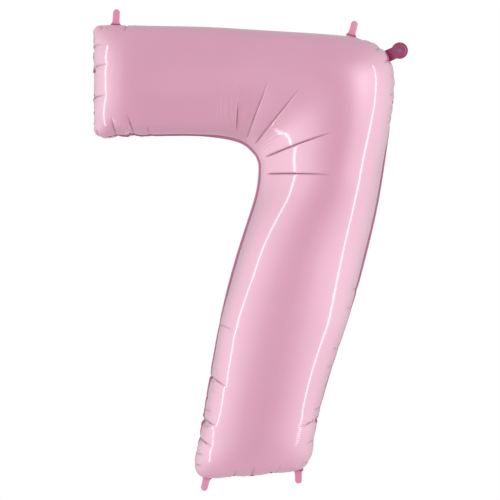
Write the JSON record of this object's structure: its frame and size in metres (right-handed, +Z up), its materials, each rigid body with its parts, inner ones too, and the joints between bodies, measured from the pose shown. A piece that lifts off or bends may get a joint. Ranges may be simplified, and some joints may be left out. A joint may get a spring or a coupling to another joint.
{
  "type": "foil number balloon",
  "caption": "Inflated foil balloon in the shape of the numeral seven, with four folding hanging tabs and a filling tail with a self-closing valve.",
  "frame": {"origin": "centre of the round end of the top-left hanging tab, in the seam plane", "axes": "+Z up as the balloon hangs, -Y to the front face of the numeral, +X to the right of the numeral seen from the front"},
  "size_m": [0.6277, 0.277, 0.9639],
  "materials": {
    "pink_foil": "glossy pastel pink metallised film",
    "tab_foil": "glossy pink laminate of two plies",
    "tail_foil": "glossy deep pink, two plies seen against the light",
    "valve_film": "clear to milky polyethylene film"
  },
  "bodies": {
    "balloon_body": {"front_foil_panel": "pink_foil", "rear_foil_panel": "pink_foil", "valve_tongue_front_film": "valve_film", "valve_tongue_rear_film": "valve_film"},
    "top_left_tab": {"hanging_tab_top_left": "tab_foil"},
    "top_right_tab": {"hanging_tab_top_right": "tab_foil"},
    "bottom_left_tab": {"hanging_tab_bottom_left": "tab_foil"},
    "bottom_right_tab": {"hanging_tab_bottom_right": "tab_foil"},
    "filling_tail": {"tail_front_ply": "tail_foil", "tail_rear_ply": "tail_foil", "valve_mouth_front_film": "valve_film", "valve_mouth_rear_film": "valve_film"}
  },
  "joints": [
    {"name": "top_left_tab_fold", "type": "hinge", "parent": "balloon_body", "child": "top_left_tab", "pos_m": [0, 0, -0.02403], "axis": [1, 0, 0], "range_deg": [-80, 80], "stiffness_Nm_per_rad": 0.0002},
    {"name": "top_right_tab_fold", "type": "hinge", "parent": "balloon_body", "child": "top_right_tab", "pos_m": [0.47285, 0, -0.04577], "axis": [0.9921, 0, -0.1254], "range_deg": [-80, 80], "stiffness_Nm_per_rad": 0.0002},
    {"name": "bottom_left_tab_fold", "type": "hinge", "parent": "balloon_body", "child": "bottom_left_tab", "pos_m": [0.18117, 0, -0.92667], "axis": [-0.997, 0, -0.0777], "range_deg": [-80, 80], "stiffness_Nm_per_rad": 0.0002},
    {"name": "bottom_right_tab_fold", "type": "hinge", "parent": "balloon_body", "child": "bottom_right_tab", "pos_m": [0.36054, 0, -0.91268], "axis": [-0.997, 0, -0.0777], "range_deg": [-80, 80], "stiffness_Nm_per_rad": 0.0002},
    {"name": "tail_fold", "type": "hinge", "parent": "balloon_body", "child": "filling_tail", "pos_m": [0.54559, 0, -0.08541], "axis": [0.5333, 0, -0.846], "range_deg": [-80, 80], "stiffness_Nm_per_rad": 0.0002}
  ]
}
